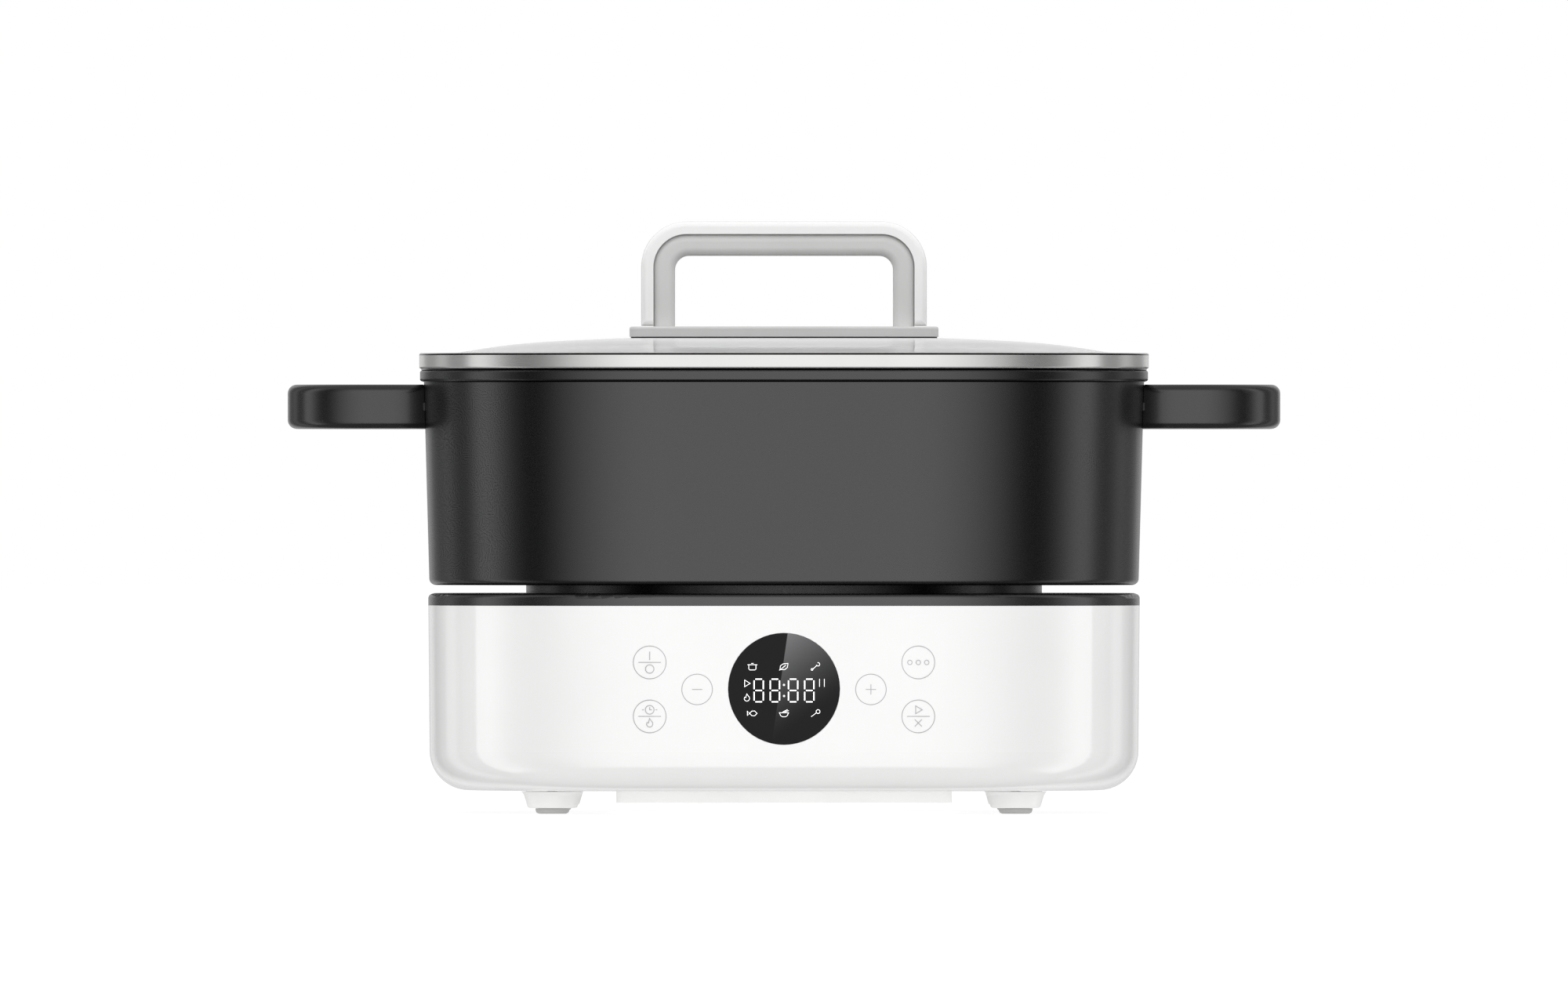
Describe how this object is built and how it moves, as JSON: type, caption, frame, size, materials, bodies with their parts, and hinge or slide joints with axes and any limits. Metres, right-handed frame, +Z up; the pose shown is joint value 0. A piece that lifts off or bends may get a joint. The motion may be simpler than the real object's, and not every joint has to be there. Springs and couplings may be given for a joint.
{
  "type": "electric hot pot",
  "caption": "Rounded-square cooking pot with a clear glass lid and loop side handles, standing on its own electric heating base with a round display and touch keys.",
  "frame": {"origin": "on the ground under the middle of the base, level with the undersides of the rubber feet", "axes": "+Z up, -Y towards the front with the display, +X towards the right-hand side handle as seen from the front"},
  "size_m": [0.3792, 0.2784, 0.226],
  "materials": {
    "shell_white": "high gloss injection-moulded white",
    "foot_white": "satin white moulding",
    "cover_white": "satin white moulding",
    "pad_grey": "matt grey rubber",
    "deck_grey": "satin dark grey",
    "seal_silicone": "grey silicone",
    "plate_black": "black heat-resistant coating on cast aluminium",
    "element_steel": "heat-tinted steel tube",
    "terminal_steel": "plated steel",
    "shield_aluminium": "bright rolled sheet",
    "screw_steel": "zinc-plated steel",
    "fuse_body": "glazed ceramic barrel",
    "sensor_aluminium": "fine turned aluminium",
    "holder_ceramic": "bare steatite",
    "spring_steel": "bright spring wire",
    "guide_plastic": "black heat-resistant moulding",
    "board_green": "green solder mask",
    "module_black": "black display frame",
    "lens_black": "smoked glossy lens",
    "pad_foam": "conductive foam",
    "relay_blue": "moulded case",
    "capacitor_yellow": "moulded case",
    "terminal_green": "moulded case",
    "inlet_black": "black moulding",
    "pin_brass": "nickel-plated brass",
    "lead_red": "silicone-covered wire",
    "lead_green": "silicone-covered wire",
    "lead_white": "glass-braid covered wire",
    "ribbon_grey": "flat grey lead",
    "pot_black": "charcoal satin coating with a very fine grain",
    "handle_black": "satin black heat-resistant moulding",
    "glass_clear": "clear tempered glass",
    "rim_steel": "polished stainless steel",
    "gasket_dark": "dark silicone",
    "grip_grey": "light grey, fine moulded grain",
    "handle_white": "high gloss white"
  },
  "bodies": {
    "base": {"base_shell": "shell_white", "feet": "foot_white", "foot_pads": "pad_grey", "foot_screws": "screw_steel", "bottom_cover": "cover_white", "bottom_cover_screws": "screw_steel", "deck_ring": "deck_grey", "plate_seal": "seal_silicone", "heating_plate": "plate_black", "heating_element": "element_steel", "element_terminals": "terminal_steel", "heat_shield": "shield_aluminium", "plate_screws": "screw_steel", "thermal_fuse": "fuse_body", "fuse_clip": "screw_steel", "sensor_guide": "guide_plastic", "guide_screws": "screw_steel", "control_board": "board_green", "display_module": "module_black", "display_lens": "lens_black", "touch_pads": "pad_foam", "control_board_screws": "screw_steel", "power_board": "board_green", "relay": "relay_blue", "capacitor": "capacitor_yellow", "terminal_block": "terminal_green", "power_board_screws": "screw_steel", "inlet_socket": "inlet_black", "inlet_pins": "pin_brass", "inlet_screws": "screw_steel", "mains_leads": "lead_red", "earth_lead": "lead_green", "element_leads": "lead_white", "ribbon_lead": "ribbon_grey"},
    "sensor": {"sensor_cap": "sensor_aluminium", "sensor_holder": "holder_ceramic", "sensor_spring": "spring_steel"},
    "pot": {"pot_body": "pot_black", "side_handle_right": "handle_black", "side_handle_left": "handle_black", "handle_tabs": "screw_steel", "side_handle_screws": "screw_steel"},
    "lid": {"lid_glass": "glass_clear", "lid_rim": "rim_steel", "vent_grommet": "rim_steel", "handle_gasket": "gasket_dark", "handle_grip": "grip_grey", "handle_cover": "handle_white", "lid_handle_washers": "screw_steel", "lid_handle_screws": "screw_steel"}
  },
  "joints": [
    {"name": "pot_lift", "type": "slide", "parent": "base", "child": "pot", "axis": [0, 0, 1], "range_m": [0, 0.15]},
    {"name": "lid_lift", "type": "slide", "parent": "pot", "child": "lid", "axis": [0, 0, 1], "range_m": [0, 0.1]},
    {"name": "sensor_press", "type": "slide", "parent": "base", "child": "sensor", "axis": [0, 0, 1], "range_m": [-0.0025, 0], "stiffness_N_per_m": 400, "springref_m": 0.004, "deforming": ["sensor_spring"]}
  ]
}
